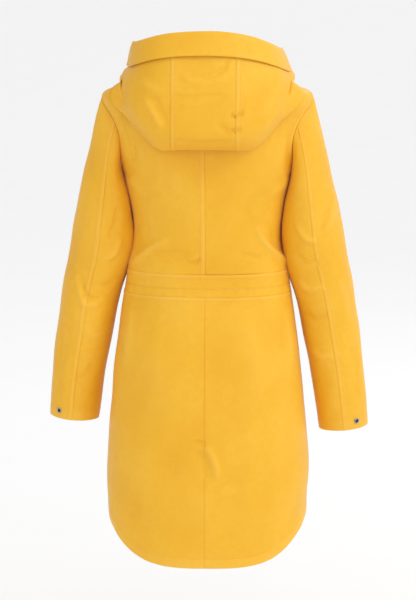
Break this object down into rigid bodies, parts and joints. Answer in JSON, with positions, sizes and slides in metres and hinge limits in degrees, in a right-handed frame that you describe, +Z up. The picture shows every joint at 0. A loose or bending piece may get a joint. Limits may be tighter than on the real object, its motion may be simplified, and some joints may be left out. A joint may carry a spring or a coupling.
{
  "type": "hooded rain coat",
  "caption": "Women's hooded rain coat in coated fabric, closed and hanging, with a stitched waist casing, a storm flap over the zip, flap pockets and a curved hem.",
  "frame": {"origin": "in the hanger loop inside the back of the neck, from which the coat hangs", "axes": "+Z up the coat, +Y out of the front opening, so that the back faces -Y; +X towards the wearer's right"},
  "size_m": [0.626, 0.3179, 1.019],
  "materials": {
    "coated_fabric": "smooth matt coating with a soft sheen",
    "lining": "matt woven lining",
    "elastic": "knitted elastic",
    "zip_tape": "woven tape",
    "zip_teeth": "moulded",
    "snap_metal": "satin nickel"
  },
  "bodies": {
    "coat_body": {"back_panel_left": "coated_fabric", "front_panel_left": "coated_fabric", "back_skirt_left": "coated_fabric", "front_skirt_left": "coated_fabric", "front_waistband_left": "coated_fabric", "front_lining_left": "lining", "front_facing_left": "coated_fabric", "back_panel_right": "coated_fabric", "front_panel_right": "coated_fabric", "back_skirt_right": "coated_fabric", "front_skirt_right": "coated_fabric", "front_waistband_right": "coated_fabric", "front_lining_right": "lining", "front_facing_right": "coated_fabric", "back_waistband": "coated_fabric", "waist_elastic": "elastic", "back_lining": "lining", "neck_facing": "coated_fabric", "collar_left": "coated_fabric", "collar_right": "coated_fabric", "zip_tape_left": "zip_tape", "zip_teeth_left": "zip_teeth", "zip_tape_right": "zip_tape", "zip_teeth_right": "zip_teeth", "zip_bottom_box": "snap_metal", "flap_stud_1": "snap_metal", "flap_stud_2": "snap_metal", "flap_stud_3": "snap_metal", "flap_stud_4": "snap_metal", "pocket_bag_left": "lining", "pocket_bag_right": "lining", "hanger_loop": "coated_fabric"},
    "sleeve_left_body": {"sleeve_upper_left": "coated_fabric", "sleeve_under_left": "coated_fabric", "sleeve_lining_left": "lining", "cuff_facing_left": "coated_fabric", "cuff_snap_left": "snap_metal"},
    "sleeve_right_body": {"sleeve_upper_right": "coated_fabric", "sleeve_under_right": "coated_fabric", "sleeve_lining_right": "lining", "cuff_facing_right": "coated_fabric", "cuff_snap_right": "snap_metal"},
    "hood_body": {"hood_centre_panel": "coated_fabric", "hood_side_left": "coated_fabric", "hood_side_right": "coated_fabric", "hood_lining": "lining", "hood_brim": "coated_fabric"},
    "storm_flap_body": {"storm_flap": "coated_fabric", "flap_snap_1": "snap_metal", "flap_snap_2": "snap_metal", "flap_snap_3": "snap_metal", "flap_snap_4": "snap_metal"},
    "pocket_flap_left_body": {"pocket_flap_left": "coated_fabric", "pocket_snap_left": "snap_metal"},
    "pocket_flap_right_body": {"pocket_flap_right": "coated_fabric", "pocket_snap_right": "snap_metal"},
    "slider_body": {"zip_slider": "snap_metal"},
    "pull_body": {"zip_pull": "snap_metal"}
  },
  "joints": [
    {"name": "left_sleeve_raise", "type": "hinge", "parent": "coat_body", "child": "sleeve_left_body", "pos_m": [-0.199, 0.072, -0.025], "axis": [0, 1, 0], "range_deg": [0, 80]},
    {"name": "right_sleeve_raise", "type": "hinge", "parent": "coat_body", "child": "sleeve_right_body", "pos_m": [0.199, 0.072, -0.025], "axis": [0, -1, 0], "range_deg": [0, 80]},
    {"name": "hood_raise", "type": "hinge", "parent": "coat_body", "child": "hood_body", "pos_m": [0, 0.072, 0.013], "axis": [-1, 0, 0], "range_deg": [0, 100]},
    {"name": "storm_flap_open", "type": "hinge", "parent": "coat_body", "child": "storm_flap_body", "pos_m": [0.029, 0.21129, -0.88877], "axis": [0, 0.0508, -0.9987], "range_deg": [0, 150]},
    {"name": "left_pocket_flap_lift", "type": "hinge", "parent": "coat_body", "child": "pocket_flap_left_body", "pos_m": [-0.10335, 0.17345, -0.48743], "axis": [0.8962, 0.36, 0.2594], "range_deg": [0, 150]},
    {"name": "right_pocket_flap_lift", "type": "hinge", "parent": "coat_body", "child": "pocket_flap_right_body", "pos_m": [0.10335, 0.17345, -0.48743], "axis": [0.8962, -0.36, -0.2594], "range_deg": [0, 150]},
    {"name": "zip_slide", "type": "slide", "parent": "coat_body", "child": "slider_body", "axis": [0, 0.0508, -0.9987], "range_m": [0, 0.86]},
    {"name": "zip_pull_swing", "type": "hinge", "parent": "slider_body", "child": "pull_body", "pos_m": [0, 0.16227, -0.01197], "axis": [1, 0, 0], "range_deg": [0, 160]}
  ]
}
